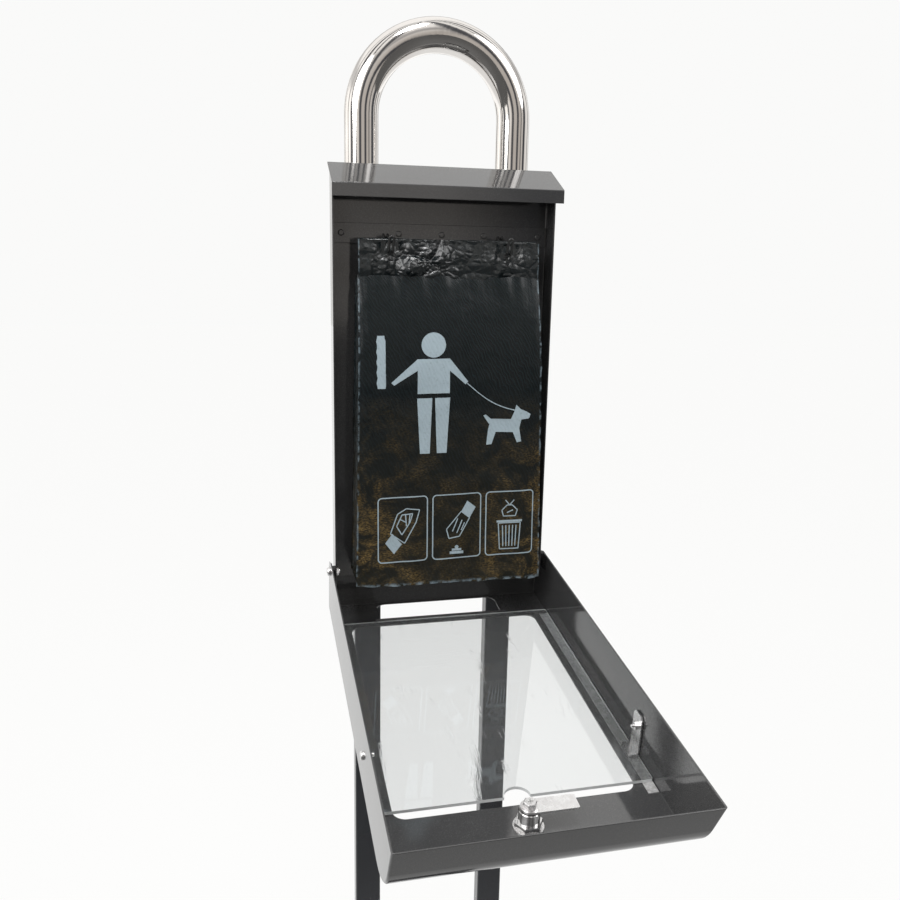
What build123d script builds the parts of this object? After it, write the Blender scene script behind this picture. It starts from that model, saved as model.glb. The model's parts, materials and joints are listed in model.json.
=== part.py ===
from build123d import *
import os
from math import hypot

# Dog waste bag station: two posts on a base plate, a tube arch, and a shallow sheet-steel
# cabinet with a rain lid and a fold-down door that holds a clear pane and a cam lock.
# Millimetres. Origin: centre of the base plate's underside. +Z up, -Y is the front.
# Cabinet, lid and door are drawn about the hinge axis, with the door shut, and then placed.

# Driving dimensions
HINGE_HEIGHT = 1000.0       # hinge axis above the ground
HINGE_FORWARD = 30.0        # hinge axis in front of the posts' centre plane
DOOR_OPEN = 96.17           # rest angle of the door, where its foot meets the posts
SHEET = 1.5                 # sheet steel

CABINET_WIDTH = 250.0
CABINET_FRONT = -15.2       # front edge of the side walls, from the hinge axis
CABINET_BACK = 14.0         # rear face of the back panel
CABINET_FOOT = -12.0
CABINET_HEEL = 2.2          # corner cut at the foot of the side walls, for the turning door
CABINET_SLOPE_GAP = 1.5     # air between the cabinet and the underside of the lid
BEND = 2.5                  # outside radius of the sheet bends

LID_WIDTH = 254.0
LID_FRONT = -37.0
LID_FRONT_HEIGHT = 439.8
LID_PITCH = 0.4687          # rise per millimetre of depth
LID_LIP = 14.0

DOOR_WIDTH = 260.5
DOOR_LENGTH = 470.0         # hinge axis to the free end
DOOR_EDGE = 14.5            # free edge of the flanges, behind the hinge axis
DOOR_FACE = -55.0           # outer face of the panel
DOOR_FOOT = -14.1
DOOR_FOOT_EDGE = -14.0
DOOR_END_LEAN = 0.42
DOOR_END_RADIUS = 60.0

SLOT_WIDTH, SLOT_LOW, SLOT_HIGH, SLOT_RADIUS = 148.0, -10.5, 36.0, 12.0
WINDOW_WIDTH, WINDOW_LOW, WINDOW_HIGH, WINDOW_RADIUS = 220.0, 44.0, 361.0, 12.0

PANE_WIDTH, PANE_LOW, PANE_HIGH, PANE_THICK = 256.0, 38.0, 354.0, 3.0
PANE_NOTCH = 12.0
TAPE_WIDTH, TAPE_THICK, TAPE_OFFSET = 10.0, 0.8, 123.0
TAPE_LOW, TAPE_HIGH = 46.0, 368.0

CLIP_HEIGHT, CLIP_DEPTH = 314.0, -21.0   # its screw
CLIP_LOW, CLIP_HIGH, CLIP_TOP = 304.0, 322.0, -8.0
CLIP_FOOT_INSIDE, CLIP_OUTSIDE = 118.0, 128.0
CLIP_SCREW_RADIUS, CLIP_SCREW_END = 2.0, 120.3
CLIP_HEAD_RADIUS, CLIP_HEAD_DEPTH = 4.0, 2.4
CLIP_NUT_ACROSS, CLIP_NUT_THICK = 7.0, 3.2
SLOT_ROD_RADIUS, SLOT_ROD_HALF, SLOT_ROD_HEIGHT = 1.5, 80.0, 31.0

LOCK_HEIGHT = 387.2
LOCK_RADIUS, LOCK_HEAD_RADIUS = 9.4, 11.5
LOCK_INNER_END = -36.0
LOCK_WASHER_RADIUS, LOCK_WASHER_THICK = 13.4, 1.2
LOCK_NUT_ACROSS, LOCK_NUT_THICK = 22.0, 5.2
PLUG_RADIUS, PLUG_SQUARE = 6.0, 8.0
CAM_BACK, CAM_REACH, CAM_WIDTH, CAM_THICK = -35.0, 41.5, 17.0, 2.0
CAM_SCREW_RADIUS, CAM_SCREW_LENGTH, CAM_SCREW_ACROSS = 2.4, 11.0, 10.6
CAM_WASHER_RADIUS, CAM_WASHER_THICK, CAM_HEAD_THICK = 7.6, 1.2, 3.8
CAM_CROSS_LONG, CAM_CROSS_NARROW, CAM_CROSS_DEPTH = 5.0, 1.1, 1.5
KEYWAY_HALF_WIDTH, KEYWAY_HALF_HEIGHT, KEYWAY_END = 0.9, 3.6, -51.0

PIVOT_RADIUS, PIVOT_HEAD_RADIUS, PIVOT_NUT_ACROSS, PIVOT_NUT_THICK = 2.5, 5.4, 8.0, 3.6
PIVOT_HEAD_HEIGHT, PIVOT_HEAD_ROUND, PIVOT_END = 3.2, 2.2, 1.2
CROSS_LONG, CROSS_NARROW, CROSS_DEPTH = 4.0, 0.6, 1.2   # half sizes of the screwdriver cross
SPACER_RADIUS = 6.5
RUNNING_GAP = 0.05

POST_WIDTH, POST_DEPTH, POST_WALL, POST_OFFSET = 32.0, 20.0, 2.0, 82.8
POST_TOP = 54.0             # above the hinge axis
TUBE_RADIUS, TUBE_WALL = 19.0, 2.0
ARCH_RADIUS = 87.0          # centre line of the bend, and of each leg from the middle
ARCH_SPRING = 517.0         # where the bend starts, above the hinge axis
TUBE_BACK = 39.0            # tube axis behind the hinge axis
PLATE_X, PLATE_Y, PLATE_THICK = (64.0, 108.0), (18.0, 60.0), 6.0   # between post and tube

BAR_WIDTH, BAR_HEIGHT, BAR_DEPTH = 230.0, 30.0, 8.0
BOLT_OFFSET, BOLT_RADIUS = 49.0, 3.0
BOLT_END, BOLT_HEAD_RADIUS, BOLT_HEAD_HEIGHT = 7.0, 5.4, 3.3
BOLT_SOCKET_ACROSS, BOLT_SOCKET_DEPTH = 4.0, 2.0
BOLT_NUT_ACROSS, BOLT_NUT_THICK = 10.0, 5.0
BAR_HEIGHTS = {"crossbar_upper": 345.0, "crossbar_middle": 145.0, "crossbar_lower": 25.0}

BASE_WIDTH, BASE_DEPTH, BASE_THICK, BASE_CORNER = 300.0, 240.0, 8.0, 20.0
ANCHOR_X, ANCHOR_Y, ANCHOR_RADIUS = 240.0, 180.0, 6.0

RAIL_WIDTH, RAIL_LOW, RAIL_HIGH = 244.0, 378.0, 400.0
RAIL_RIVETS = (-113.0, -49.0, 0.0, 49.0, 113.0)
LID_RIVETS = (-90.0, -30.0, 30.0, 90.0)
RIVET_RADIUS = 2.0
RIVET_HEAD_RADIUS, RIVET_HEAD_HEIGHT = 3.4, 1.4
RIVET_TAIL_RADIUS, RIVET_TAIL_HEIGHT = 2.9, 1.2

BAG_SHIFT = 2.0             # the hooks and bags sit this far right of the middle
HOOK_OFFSET, HOOK_RADIUS, HOOK_HALF_GAP = 66.0, 1.5, 2.3
HOOK_LINE = ((11.0, 388.0), (-27.0, 367.0), (-37.0, 386.0))
HOOK_BEND, HOOK_TIP_BEND = 7.0, 2.25

BAG_WIDTH_TOP, BAG_WIDTH_FOOT = 198.0, 208.0
STACK_FOOT = 2.0
STACK_SIDE = ((-44.0, 262.0), (-47.0, 60.0), (-46.0, 10.0), (-40.0, STACK_FOOT), (0.0, STACK_FOOT),
              (6.0, 12.0), (5.0, 200.0))   # side view below the header, front to back
HEADER_WIDTH, HEADER_LOW, HEADER_HIGH = 196.0, 344.0, 384.0
HEADER_FRONT, HEADER_BACK = -24.0, -8.0
PUNCH_WIDTH, PUNCH_LENGTH, PUNCH_HEIGHT = 12.0, 18.0, 372.0

# Sizes that follow from the ones above
LID_FLANGE_FOOT = LID_FRONT_HEIGHT + 4
LID_RIVET_HEIGHT = LID_FRONT_HEIGHT + 10
RAIL_RIVET_HEIGHT = (RAIL_LOW + RAIL_HIGH) / 2
PANEL_INSIDE = DOOR_FACE + SHEET
SIDE_INSIDE = CABINET_WIDTH / 2 - SHEET
BACK_INSIDE = CABINET_BACK - SHEET
LID_BACK = BACK_INSIDE - SHEET
FLANGE_OUTSIDE = DOOR_WIDTH / 2
FLANGE_INSIDE = FLANGE_OUTSIDE - SHEET


# Placing

def place_fixed(shape):
    return Pos(0, -HINGE_FORWARD, HINGE_HEIGHT) * shape


def place_door(shape):
    return Pos(0, -HINGE_FORWARD, HINGE_HEIGHT) * Rot(DOOR_OPEN, 0, 0) * shape


# Building blocks. Side views are drawn as (depth, height) points, and extruded across.

def prism(points, width, corner=None, radius=0.0):
    face = make_face(Polyline(*points, close=True))
    if corner is not None:
        target = Vector(*corner)
        vertex = min(face.vertices(), key=lambda v: (Vector(v.center()) - target).length)
        face = fillet(vertex, radius)
    return extrude(Plane.YZ * face, width / 2, both=True)


def block(x, y, z):
    size = (x[1] - x[0], y[1] - y[0], z[1] - z[0])
    middle = ((x[0] + x[1]) / 2, (y[0] + y[1]) / 2, (z[0] + z[1]) / 2)
    return Pos(*middle) * Box(*size)


def rod_x(radius, x, y, z):
    return Pos((x[0] + x[1]) / 2, y, z) * Rot(0, 90, 0) * Cylinder(radius, abs(x[1] - x[0]))


def rod_y(radius, x, y, z):
    return Pos(x, (y[0] + y[1]) / 2, z) * Rot(90, 0, 0) * Cylinder(radius, abs(y[1] - y[0]))


def hex_y(across_flats, x, y, z):
    side = RegularPolygon(across_flats / 2, 6, major_radius=False)
    nut = extrude(Plane.XZ * side, -(y[1] - y[0]))
    return chamfer(nut.faces().sort_by(Axis.Y)[0].edges(), 0.5).moved(Pos(x, y[0], z))


def hex_x(across_flats, x, y, z):
    side = RegularPolygon(across_flats / 2, 6, major_radius=False)
    return Pos(x[0], y, z) * extrude(Plane.YZ * side, x[1] - x[0])


def dome_y(radius, height, x, y, z, facing):
    head = rod_y(radius, x, (y, y + facing * height), z)
    rim = head.faces().sort_by(Axis.Y)[0 if facing < 0 else -1].edges()
    return fillet(rim, height * 0.8)


def rounded_hole(width, low, high, radius):
    face = RectangleRounded(width, high - low, radius)
    cut = extrude(Plane.XZ * face, 6, both=True)
    return Pos(0, DOOR_FACE, (low + high) / 2) * cut


def mirrored(shape):
    return [shape, mirror(shape, Plane.YZ)]


def lid_under(depth):
    drop = SHEET * hypot(1, LID_PITCH)
    return LID_FRONT_HEIGHT + LID_PITCH * (depth - LID_FRONT) - drop


# Stand: base plate, posts, arch and crossbars

def base_plate():
    plate = extrude(RectangleRounded(BASE_WIDTH, BASE_DEPTH, BASE_CORNER), BASE_THICK)
    anchors = GridLocations(ANCHOR_X, ANCHOR_Y, 2, 2) * Cylinder(ANCHOR_RADIUS, 4 * BASE_THICK)
    rim = plate.faces().sort_by(Axis.Z)[-1].outer_wire().edges()
    return chamfer(rim, 1.0) - anchors


def post(side):
    outer = RectangleRounded(POST_WIDTH, POST_DEPTH, 2.5)
    inner = RectangleRounded(POST_WIDTH - 2 * POST_WALL, POST_DEPTH - 2 * POST_WALL, 1.0)
    length = HINGE_HEIGHT + POST_TOP - BASE_THICK
    return Pos(side * POST_OFFSET, 0, BASE_THICK) * extrude(outer - inner, length)


def transition_plates():
    plate = block(PLATE_X, PLATE_Y, (POST_TOP, POST_TOP + PLATE_THICK))
    plate = fillet(plate.edges().filter_by(Axis.Z), 4)
    return mirrored(plate)


def arch_path():
    foot = POST_TOP + PLATE_THICK
    left = Line((-ARCH_RADIUS, TUBE_BACK, foot), (-ARCH_RADIUS, TUBE_BACK, ARCH_SPRING))
    top = (0, TUBE_BACK, ARCH_SPRING + ARCH_RADIUS)
    bend = ThreePointArc(left @ 1, top, (ARCH_RADIUS, TUBE_BACK, ARCH_SPRING))
    right = Line(bend @ 1, (ARCH_RADIUS, TUBE_BACK, foot))
    return left + bend + right


def arch_tube():
    path = arch_path()
    start = Plane(origin=path @ 0, z_dir=path % 0)
    ring = Circle(TUBE_RADIUS) - Circle(TUBE_RADIUS - TUBE_WALL)
    return sweep(start * ring, path=path)


def crossbar(height, on_posts):
    low, high = height - BAR_HEIGHT / 2, height + BAR_HEIGHT / 2
    half = BAR_WIDTH / 2
    bar = block((-half, half), (CABINET_BACK, CABINET_BACK + BAR_DEPTH), (low, high))
    front = HINGE_FORWARD - POST_DEPTH / 2
    for side in (-1, 1):
        if on_posts:
            x = side * POST_OFFSET
            half_post = POST_WIDTH / 2
            bar -= block((x - half_post, x + half_post), (front, front + 20), (low, high))
        else:
            leg = Pos(side * ARCH_RADIUS, TUBE_BACK, height) * Cylinder(TUBE_RADIUS, 2 * BAR_HEIGHT)
            bar -= leg
        bar -= rod_y(BOLT_RADIUS, side * BOLT_OFFSET, (0, 40), height)
    return bar


# Cabinet, rain lid and what is fixed to them

def cabinet_shell():
    front_top = lid_under(CABINET_FRONT) - CABINET_SLOPE_GAP
    back_top = lid_under(LID_BACK) - CABINET_SLOPE_GAP
    outline = [(CABINET_BACK, CABINET_FOOT), (CABINET_FRONT + CABINET_HEEL, CABINET_FOOT),
               (CABINET_FRONT, CABINET_FOOT + CABINET_HEEL), (CABINET_FRONT, front_top),
               (LID_BACK, back_top), (CABINET_BACK, back_top)]
    body = prism(outline, CABINET_WIDTH)
    bends = body.edges().filter_by(Axis.Z).group_by(Axis.Y)[-1]
    body = fillet(bends, BEND)
    inside = 2 * SIDE_INSIDE
    hollow = block((-inside / 2, inside / 2), (-60, BACK_INSIDE), (CABINET_FOOT - 5, 500))
    shell = body - fillet(hollow.edges().filter_by(Axis.Z).group_by(Axis.Y)[-1], BEND - SHEET)
    for side in (-1, 1):
        shell -= rod_x(PIVOT_RADIUS, (side * 110, side * 140), 0, 0)
        for height in BAR_HEIGHTS.values():
            shell -= rod_y(BOLT_RADIUS, side * BOLT_OFFSET, (0, 40), height)
    for x in RAIL_RIVETS:
        shell -= rod_y(RIVET_RADIUS, x, (0, 40), RAIL_RIVET_HEIGHT)
    for x in LID_RIVETS:
        shell -= rod_y(RIVET_RADIUS, x, (0, 40), LID_RIVET_HEIGHT)
    return shell


def rain_lid():
    back_height = LID_FRONT_HEIGHT + LID_PITCH * (BACK_INSIDE - LID_FRONT)
    under_front = lid_under(LID_FRONT + SHEET)
    lip_foot = LID_FRONT_HEIGHT - LID_LIP
    outline = [(LID_FRONT, lip_foot), (LID_FRONT + SHEET, lip_foot),
               (LID_FRONT + SHEET, under_front), (LID_BACK, lid_under(LID_BACK)),
               (LID_BACK, LID_FLANGE_FOOT), (BACK_INSIDE, LID_FLANGE_FOOT),
               (BACK_INSIDE, back_height), (LID_FRONT, LID_FRONT_HEIGHT)]
    lid = prism(outline, LID_WIDTH, corner=(LID_FRONT, LID_FRONT_HEIGHT), radius=1.4)
    side_room = block((SIDE_INSIDE - 2, 200), (LID_BACK - 1, 30), (0, lid_under(LID_BACK)))
    for cut in mirrored(side_room):
        lid -= cut
    for x in LID_RIVETS:
        lid -= rod_y(RIVET_RADIUS, x, (0, 40), LID_RIVET_HEIGHT)
    return lid


def rivet(x, height, face):
    shank = rod_y(RIVET_RADIUS, x, (face, CABINET_BACK), height)
    head = dome_y(RIVET_HEAD_RADIUS, RIVET_HEAD_HEIGHT, x, face, height, -1)
    tail = dome_y(RIVET_TAIL_RADIUS, RIVET_TAIL_HEIGHT, x, CABINET_BACK, height, 1)
    return shank + head + tail


def hook_rail():
    rail = block((-RAIL_WIDTH / 2, RAIL_WIDTH / 2), (LID_BACK, BACK_INSIDE), (RAIL_LOW, RAIL_HIGH))
    for x in RAIL_RIVETS:
        rail -= rod_y(RIVET_RADIUS, x, (0, 40), RAIL_RIVET_HEIGHT)
    return rail


def hook(side):
    x = BAG_SHIFT + side * HOOK_OFFSET
    near = [(x - HOOK_HALF_GAP, y, z) for y, z in HOOK_LINE]
    far = [(x + HOOK_HALF_GAP, y, z) for y, z in reversed(HOOK_LINE)]
    path = FilletPolyline(*near, *far, radius=[HOOK_BEND, HOOK_TIP_BEND, HOOK_TIP_BEND, HOOK_BEND])
    wire = sweep(Plane(origin=path @ 0, z_dir=path % 0) * Circle(HOOK_RADIUS), path=path)
    return wire - block((-200, 200), (LID_BACK, 60), (300, 460))


def cabinet_bolt(x, height):
    shank = rod_y(BOLT_RADIUS, x, (BACK_INSIDE, CABINET_BACK + BAR_DEPTH + BOLT_END), height)
    head_top = BACK_INSIDE - BOLT_HEAD_HEIGHT
    socket = hex_y(BOLT_SOCKET_ACROSS, x, (head_top, head_top + BOLT_SOCKET_DEPTH), height)
    head = dome_y(BOLT_HEAD_RADIUS, BOLT_HEAD_HEIGHT, x, BACK_INSIDE, height, -1)
    return shank + head - socket


def cabinet_nut(x, height):
    start = CABINET_BACK + BAR_DEPTH
    nut = hex_y(BOLT_NUT_ACROSS, x, (start, start + BOLT_NUT_THICK), height)
    return nut - rod_y(BOLT_RADIUS, x, (0, 60), height)


def at_bolts(maker):
    return [maker(side * BOLT_OFFSET, height) for side in (-1, 1) for height in BAR_HEIGHTS.values()]


# Bag pack

def bag_stack():
    top, foot = HEADER_LOW, STACK_FOOT
    outline = [(HEADER_FRONT - 2, top), *STACK_SIDE, (HEADER_BACK + 2, top)]
    stack = prism(outline, BAG_WIDTH_FOOT)
    taper = (BAG_WIDTH_FOOT - BAG_WIDTH_TOP) / 2
    half = BAG_WIDTH_FOOT / 2
    wedge = make_face(Polyline((half - taper, top + 1), (half + 1, top + 1), (half + 1, foot),
                               (half, foot), close=True))
    for cut in mirrored(extrude(Plane.XZ * wedge, 100, both=True)):
        stack -= cut
    return Pos(BAG_SHIFT, 0, 0) * stack


def bag_header():
    half = HEADER_WIDTH / 2
    header = block((-half, half), (HEADER_FRONT, HEADER_BACK), (HEADER_LOW, HEADER_HIGH))
    header = fillet(header.edges().filter_by(Axis.X), 3)
    slot = RectangleRounded(PUNCH_WIDTH, PUNCH_LENGTH, PUNCH_WIDTH / 2 - 0.1)
    for side in (-1, 1):
        header -= Pos(side * HOOK_OFFSET, 0, PUNCH_HEIGHT) * extrude(Plane.XZ * slot, 60, both=True)
    return Pos(BAG_SHIFT, 0, 0) * header


# Hinge

def hinge_screw():
    face = FLANGE_OUTSIDE + 0.1
    shank = rod_x(PIVOT_RADIUS, (SIDE_INSIDE - PIVOT_NUT_THICK - PIVOT_END, face), 0, 0)
    top = face + PIVOT_HEAD_HEIGHT
    head = rod_x(PIVOT_HEAD_RADIUS, (face, top), 0, 0)
    head = fillet(head.faces().sort_by(Axis.X)[-1].edges(), PIVOT_HEAD_ROUND)
    for y, z in ((CROSS_LONG, CROSS_NARROW), (CROSS_NARROW, CROSS_LONG)):
        head -= block((top - CROSS_DEPTH, 140), (-y, y), (-z, z))
    return shank + head


def hinge_spacer():
    x = (CABINET_WIDTH / 2, FLANGE_INSIDE - 0.1)
    return rod_x(SPACER_RADIUS, x, 0, 0) - rod_x(PIVOT_RADIUS, x, 0, 0)


def hinge_nut():
    x = (SIDE_INSIDE - PIVOT_NUT_THICK, SIDE_INSIDE)
    return hex_x(PIVOT_NUT_ACROSS, x, 0, 0) - rod_x(PIVOT_RADIUS, x, 0, 0)


# Door and what is fixed to it

def door_end(depth):
    return DOOR_LENGTH - DOOR_END_LEAN * (DOOR_EDGE - depth)


def door_tray():
    corner = (DOOR_FACE, door_end(DOOR_FACE))
    outline = [(DOOR_EDGE, 8), (8, -10), (DOOR_FOOT_EDGE, DOOR_FOOT), (DOOR_FACE, DOOR_FOOT),
               corner, (DOOR_EDGE, DOOR_LENGTH)]
    outer = prism(outline, DOOR_WIDTH, corner=corner, radius=DOOR_END_RADIUS)
    outer = fillet(tray_bends(outer), 2.4)
    end_sheet = SHEET * hypot(1, DOOR_END_LEAN)
    inside_corner = (PANEL_INSIDE, door_end(PANEL_INSIDE) - end_sheet)
    foot_inside = DOOR_FOOT + SHEET
    opening = [(PANEL_INSIDE, foot_inside), (DOOR_FOOT_EDGE, foot_inside), (DOOR_FOOT_EDGE, -30),
               (60, -30), (60, door_end(60) - end_sheet), inside_corner]
    inner = prism(opening, 2 * FLANGE_INSIDE, corner=inside_corner, radius=DOOR_END_RADIUS - SHEET)
    tray = outer - inner
    tray -= rounded_hole(WINDOW_WIDTH, WINDOW_LOW, WINDOW_HIGH, WINDOW_RADIUS)
    tray -= rounded_hole(SLOT_WIDTH, SLOT_LOW, SLOT_HIGH, SLOT_RADIUS)
    tray -= rod_y(LOCK_RADIUS, 0, (DOOR_FACE - 5, PANEL_INSIDE + 5), LOCK_HEIGHT)
    for side in (-1, 1):
        tray -= rod_x(PIVOT_RADIUS + RUNNING_GAP, (side * 120, side * 140), 0, 0)
        tray -= rod_x(CLIP_SCREW_RADIUS, (side * 120, side * 140), CLIP_DEPTH, CLIP_HEIGHT)
    return tray


def tray_bends(outer):
    chosen = []
    for edge in outer.edges():
        middle = edge.center()
        on_side = abs(abs(middle.X) - DOOR_WIDTH / 2) < 0.01
        free = middle.Y > DOOR_EDGE - 8 or (middle.Y > DOOR_FOOT_EDGE and middle.Z < 20)
        if on_side and not free:
            chosen.append(edge)
    return chosen


def slot_guide_rod():
    depth = PANEL_INSIDE + SLOT_ROD_RADIUS
    return rod_x(SLOT_ROD_RADIUS, (-SLOT_ROD_HALF, SLOT_ROD_HALF), depth, SLOT_ROD_HEIGHT)


def pane_floor():
    return PANEL_INSIDE + TAPE_THICK


def pane_top():
    return pane_floor() + PANE_THICK


def window_pane():
    height = PANE_HIGH - PANE_LOW
    face = RectangleRounded(PANE_WIDTH, height, 2.0) - Pos(0, height / 2) * Circle(PANE_NOTCH)
    sheet = extrude(Plane.XZ * face, PANE_THICK)
    return Pos(0, pane_top(), (PANE_LOW + PANE_HIGH) / 2) * sheet


def pane_tape(side):
    x = side * TAPE_OFFSET
    half = TAPE_WIDTH / 2
    return block((x - half, x + half), (PANEL_INSIDE, pane_floor()), (TAPE_LOW, TAPE_HIGH))


def pane_clip():
    top = pane_top()
    foot = block((CLIP_FOOT_INSIDE, CLIP_OUTSIDE), (top, top + SHEET), (CLIP_LOW - 3, CLIP_HIGH - 1))
    foot = fillet(foot.edges().filter_by(Axis.Y).group_by(Axis.X)[0], 2.0)
    leg = block((CLIP_OUTSIDE - SHEET, CLIP_OUTSIDE), (top, CLIP_TOP), (CLIP_LOW, CLIP_HIGH))
    leg = chamfer(leg.edges().filter_by(Axis.X).group_by(Axis.Y)[-1], 4.0)
    return foot + leg - rod_x(CLIP_SCREW_RADIUS, (118, 130), CLIP_DEPTH, CLIP_HEIGHT)


def clip_screw():
    shank = rod_x(CLIP_SCREW_RADIUS, (CLIP_SCREW_END, FLANGE_OUTSIDE), CLIP_DEPTH, CLIP_HEIGHT)
    shank = chamfer(shank.faces().sort_by(Axis.X)[0].edges(), 0.4)
    head_end = FLANGE_OUTSIDE + CLIP_HEAD_DEPTH
    head = rod_x(CLIP_HEAD_RADIUS, (FLANGE_OUTSIDE, head_end), CLIP_DEPTH, CLIP_HEIGHT)
    head = fillet(head.faces().sort_by(Axis.X)[-1].edges(), 1.6)
    return shank + head


def clip_nut():
    end = CLIP_OUTSIDE - SHEET
    nut = hex_x(CLIP_NUT_ACROSS, (end - CLIP_NUT_THICK, end), CLIP_DEPTH, CLIP_HEIGHT)
    return nut - rod_x(CLIP_SCREW_RADIUS, (110, 130), CLIP_DEPTH, CLIP_HEIGHT)


# Cam lock, drawn along +Y from the outside of the panel to the inside

def lock_body():
    head = rod_y(LOCK_HEAD_RADIUS, 0, (DOOR_FACE - 2.2, DOOR_FACE), LOCK_HEIGHT)
    head = chamfer(head.faces().sort_by(Axis.Y)[0].edges(), 0.8)
    barrel = rod_y(LOCK_RADIUS, 0, (DOOR_FACE, LOCK_INNER_END), LOCK_HEIGHT)
    barrel = chamfer(barrel.faces().sort_by(Axis.Y)[-1].edges(), 0.7)
    return head + barrel - rod_y(PLUG_RADIUS + RUNNING_GAP, 0, (-60, -30), LOCK_HEIGHT)


def lock_washer():
    y = (PANEL_INSIDE, PANEL_INSIDE + LOCK_WASHER_THICK)
    return rod_y(LOCK_WASHER_RADIUS, 0, y, LOCK_HEIGHT) - rod_y(LOCK_RADIUS, 0, y, LOCK_HEIGHT)


def lock_nut():
    start = PANEL_INSIDE + LOCK_WASHER_THICK
    nut = hex_y(LOCK_NUT_ACROSS, 0, (start, start + LOCK_NUT_THICK), LOCK_HEIGHT)
    nut = chamfer(nut.faces().sort_by(Axis.Y)[-1].edges(), 0.6)
    return nut - rod_y(LOCK_RADIUS, 0, (-60, -30), LOCK_HEIGHT)


def lock_plug():
    half = PLUG_SQUARE / 2
    plug = rod_y(PLUG_RADIUS, 0, (DOOR_FACE - 2.6, CAM_BACK), LOCK_HEIGHT)
    square = (LOCK_HEIGHT - half, LOCK_HEIGHT + half)
    drive = block((-half, half), (CAM_BACK, CAM_BACK + CAM_THICK), square)
    keyway_height = (LOCK_HEIGHT - KEYWAY_HALF_HEIGHT, LOCK_HEIGHT + KEYWAY_HALF_HEIGHT)
    keyway = block((-KEYWAY_HALF_WIDTH, KEYWAY_HALF_WIDTH), (-60, KEYWAY_END), keyway_height)
    return plug + drive - keyway - rod_y(CAM_SCREW_RADIUS, 0, (-46, -30), LOCK_HEIGHT)


def lock_cam():
    half = CAM_WIDTH / 2
    plate = Circle(half) + Pos((CAM_REACH - 2) / 2, 0) * Rectangle(CAM_REACH - 2, CAM_WIDTH)
    tip = Pos(CAM_REACH - half, 0) * RectangleRounded(CAM_WIDTH, CAM_WIDTH, 1.6)
    face = plate + tip - Rectangle(PLUG_SQUARE, PLUG_SQUARE)
    return Pos(0, CAM_BACK + CAM_THICK, LOCK_HEIGHT) * extrude(Plane.XZ * face, CAM_THICK)


def cam_screw():
    seat = CAM_BACK + CAM_THICK
    washer_end = seat + CAM_WASHER_THICK
    head_end = washer_end + CAM_HEAD_THICK
    screw = rod_y(CAM_SCREW_RADIUS, 0, (seat - CAM_SCREW_LENGTH, seat), LOCK_HEIGHT)
    screw += rod_y(CAM_WASHER_RADIUS, 0, (seat, washer_end), LOCK_HEIGHT)
    head = hex_y(CAM_SCREW_ACROSS, 0, (washer_end, head_end), LOCK_HEIGHT)
    screw += chamfer(head.faces().sort_by(Axis.Y)[-1].edges(), 0.6)
    for x, z in ((CAM_CROSS_LONG, CAM_CROSS_NARROW), (CAM_CROSS_NARROW, CAM_CROSS_LONG)):
        screw -= Pos(0, head_end, LOCK_HEIGHT) * Box(x, 2 * CAM_CROSS_DEPTH, z)
    return screw


# Every node, by how it is placed

FIXED = {
    "transition_plates": transition_plates(),
    "arch_tube": [arch_tube()],
    "cabinet_shell": [cabinet_shell()],
    "rain_lid": [rain_lid()],
    "lid_rivets": [rivet(x, LID_RIVET_HEIGHT, LID_BACK) for x in LID_RIVETS],
    "hook_rail": [hook_rail()],
    "rail_rivets": [rivet(x, RAIL_RIVET_HEIGHT, LID_BACK) for x in RAIL_RIVETS],
    "hook_left": [hook(-1)],
    "hook_right": [hook(1)],
    "cabinet_bolts": at_bolts(cabinet_bolt),
    "cabinet_nuts": at_bolts(cabinet_nut),
    "bag_stack": [bag_stack()],
    "bag_header": [bag_header()],
    "hinge_screws": mirrored(hinge_screw()),
    "hinge_spacers": mirrored(hinge_spacer()),
    "hinge_nuts": mirrored(hinge_nut()),
}
for bar_name, bar_height in BAR_HEIGHTS.items():
    FIXED[bar_name] = [crossbar(bar_height, on_posts=bar_height < POST_TOP)]

ON_DOOR = {
    "door_tray": [door_tray()],
    "slot_guide_rod": [slot_guide_rod()],
    "window_pane": [window_pane()],
    "pane_tape_left": [pane_tape(-1)],
    "pane_tape_right": [pane_tape(1)],
    "pane_clip_left": [mirror(pane_clip(), Plane.YZ)],
    "pane_clip_right": [pane_clip()],
    "clip_screws": mirrored(clip_screw()),
    "clip_nuts": mirrored(clip_nut()),
    "lock_body": [lock_body()],
    "lock_washer": [lock_washer()],
    "lock_nut": [lock_nut()],
    "lock_plug": [lock_plug()],
    "lock_cam": [lock_cam()],
    "cam_screw": [cam_screw()],
}

ON_GROUND = {
    "base_plate": [base_plate()],
    "post_left": [post(-1)],
    "post_right": [post(1)],
}


def write(name, solids):
    shape = solids[0] if len(solids) == 1 else Compound(children=solids)
    export_step(shape, f"parts/{name}.step")


os.makedirs("parts", exist_ok=True)
for node, solids in ON_GROUND.items():
    write(node, solids)
for node, solids in FIXED.items():
    write(node, [place_fixed(solid) for solid in solids])
for node, solids in ON_DOOR.items():
    write(node, [place_door(solid) for solid in solids])
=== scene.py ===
"""Looks for the dog waste bag station: metres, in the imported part's own frame (+Z up, -Y the front)."""

import json
import math

import bmesh
import bpy
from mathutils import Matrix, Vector, noise
from mathutils.bvhtree import BVHTree


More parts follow.
